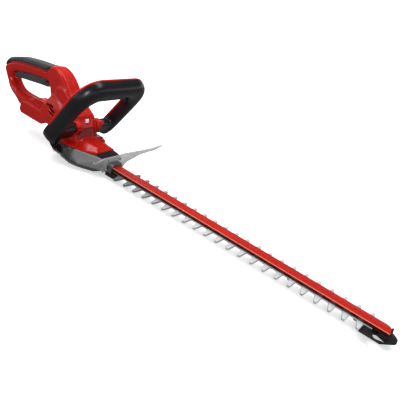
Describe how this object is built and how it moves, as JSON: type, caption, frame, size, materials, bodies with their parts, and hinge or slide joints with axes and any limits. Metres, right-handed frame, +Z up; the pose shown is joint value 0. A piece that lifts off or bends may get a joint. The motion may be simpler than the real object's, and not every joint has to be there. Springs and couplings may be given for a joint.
{
  "type": "hedge trimmer",
  "caption": "Cordless hedge trimmer: long double-sided reciprocating blade, hoop front handle, hand guard and a looped rear handle with trigger; battery not fitted",
  "frame": {"origin": "bottom centre of the tool's bounding box, under the bar on the plane the lower cover rests on", "axes": "+X along the blade toward its tip, +Y to the tool's left, +Z up"},
  "size_m": [0.969, 0.21, 0.2032],
  "materials": {
    "red": "gloss",
    "soft_black": "matte",
    "screw": "satin",
    "badge": "satin",
    "dark_grey": "satin",
    "steel": "satin",
    "black": "satin",
    "wire": "satin",
    "magnet": "matte",
    "bronze": "satin",
    "cast_alu": "matte",
    "grey_gloss": "gloss",
    "smoke": "gloss",
    "black_gloss": "satin",
    "blade_steel": "satin",
    "red_metal": "gloss"
  },
  "bodies": {
    "body": {"housing_right": "red", "housing_left": "red", "rear_grip": "soft_black", "housing_screws": "screw", "badge_plate": "badge", "trigger_pin": "steel", "trigger_spring": "steel", "rear_microswitch": "black", "battery_terminals": "black", "wiring": "wire", "motor_can": "steel", "motor_magnets": "magnet", "motor_bushings": "bronze", "gear_housing": "cast_alu", "gearbox_lid": "cast_alu", "gearbox_screws": "screw", "gear_bearings": "steel", "lower_cover": "grey_gloss", "lower_cover_screws": "screw", "nose_cover": "black", "blade_clamp": "black", "bar_bracket": "steel", "hand_guard": "smoke", "guard_screws": "screw", "hoop_front": "black_gloss", "hoop_back": "red", "hoop_screws": "screw", "front_bar_springs": "steel", "front_microswitch": "black", "blade_cover": "red_metal", "guide_bolts": "screw", "guide_washers": "steel", "tip_protector": "black", "tip_screw": "screw"},
    "trigger": {"trigger": "dark_grey"},
    "front_bar": {"front_switch_bar": "dark_grey"},
    "rotor": {"motor_rotor": "steel", "motor_pinion": "steel"},
    "gear": {"drive_gear": "steel"},
    "upper": {"upper_blade": "blade_steel"},
    "lower": {"lower_blade": "blade_steel"}
  },
  "joints": [
    {"name": "trigger_pivot", "type": "hinge", "parent": "body", "child": "trigger", "pos_m": [-0.3485, 0, 0.13], "axis": [0, 1, 0], "range_deg": [0, 4.5], "stiffness_Nm_per_rad": 0.6, "springref_deg": -5.73},
    {"name": "front_bar_press", "type": "slide", "parent": "body", "child": "front_bar", "axis": [0.5299, 0, 0.848], "range_m": [0, 0.004], "stiffness_N_per_m": 800, "springref_m": -0.002, "deforming": ["front_bar_springs"]},
    {"name": "gear_spin", "type": "hinge", "parent": "body", "child": "gear", "pos_m": [-0.2145, 0, 0.018], "axis": [0, 0, 1], "continuous": true},
    {"name": "rotor_spin", "type": "hinge", "parent": "body", "child": "rotor", "pos_m": [-0.2535, 0, 0.018], "axis": [0, 0, 1], "continuous": true},
    {"name": "upper_blade_stroke", "type": "slide", "parent": "body", "child": "upper", "axis": [1, 0, 0], "range_m": [-0.006, 0.006]},
    {"name": "lower_blade_stroke", "type": "slide", "parent": "body", "child": "lower", "axis": [1, 0, 0], "range_m": [-0.006, 0.006]}
  ],
  "couplings": [
    {"joint": "rotor_spin", "follows": "gear_spin", "ratio": -5.5},
    {"joint": "lower_blade_stroke", "follows": "upper_blade_stroke", "ratio": -1}
  ]
}
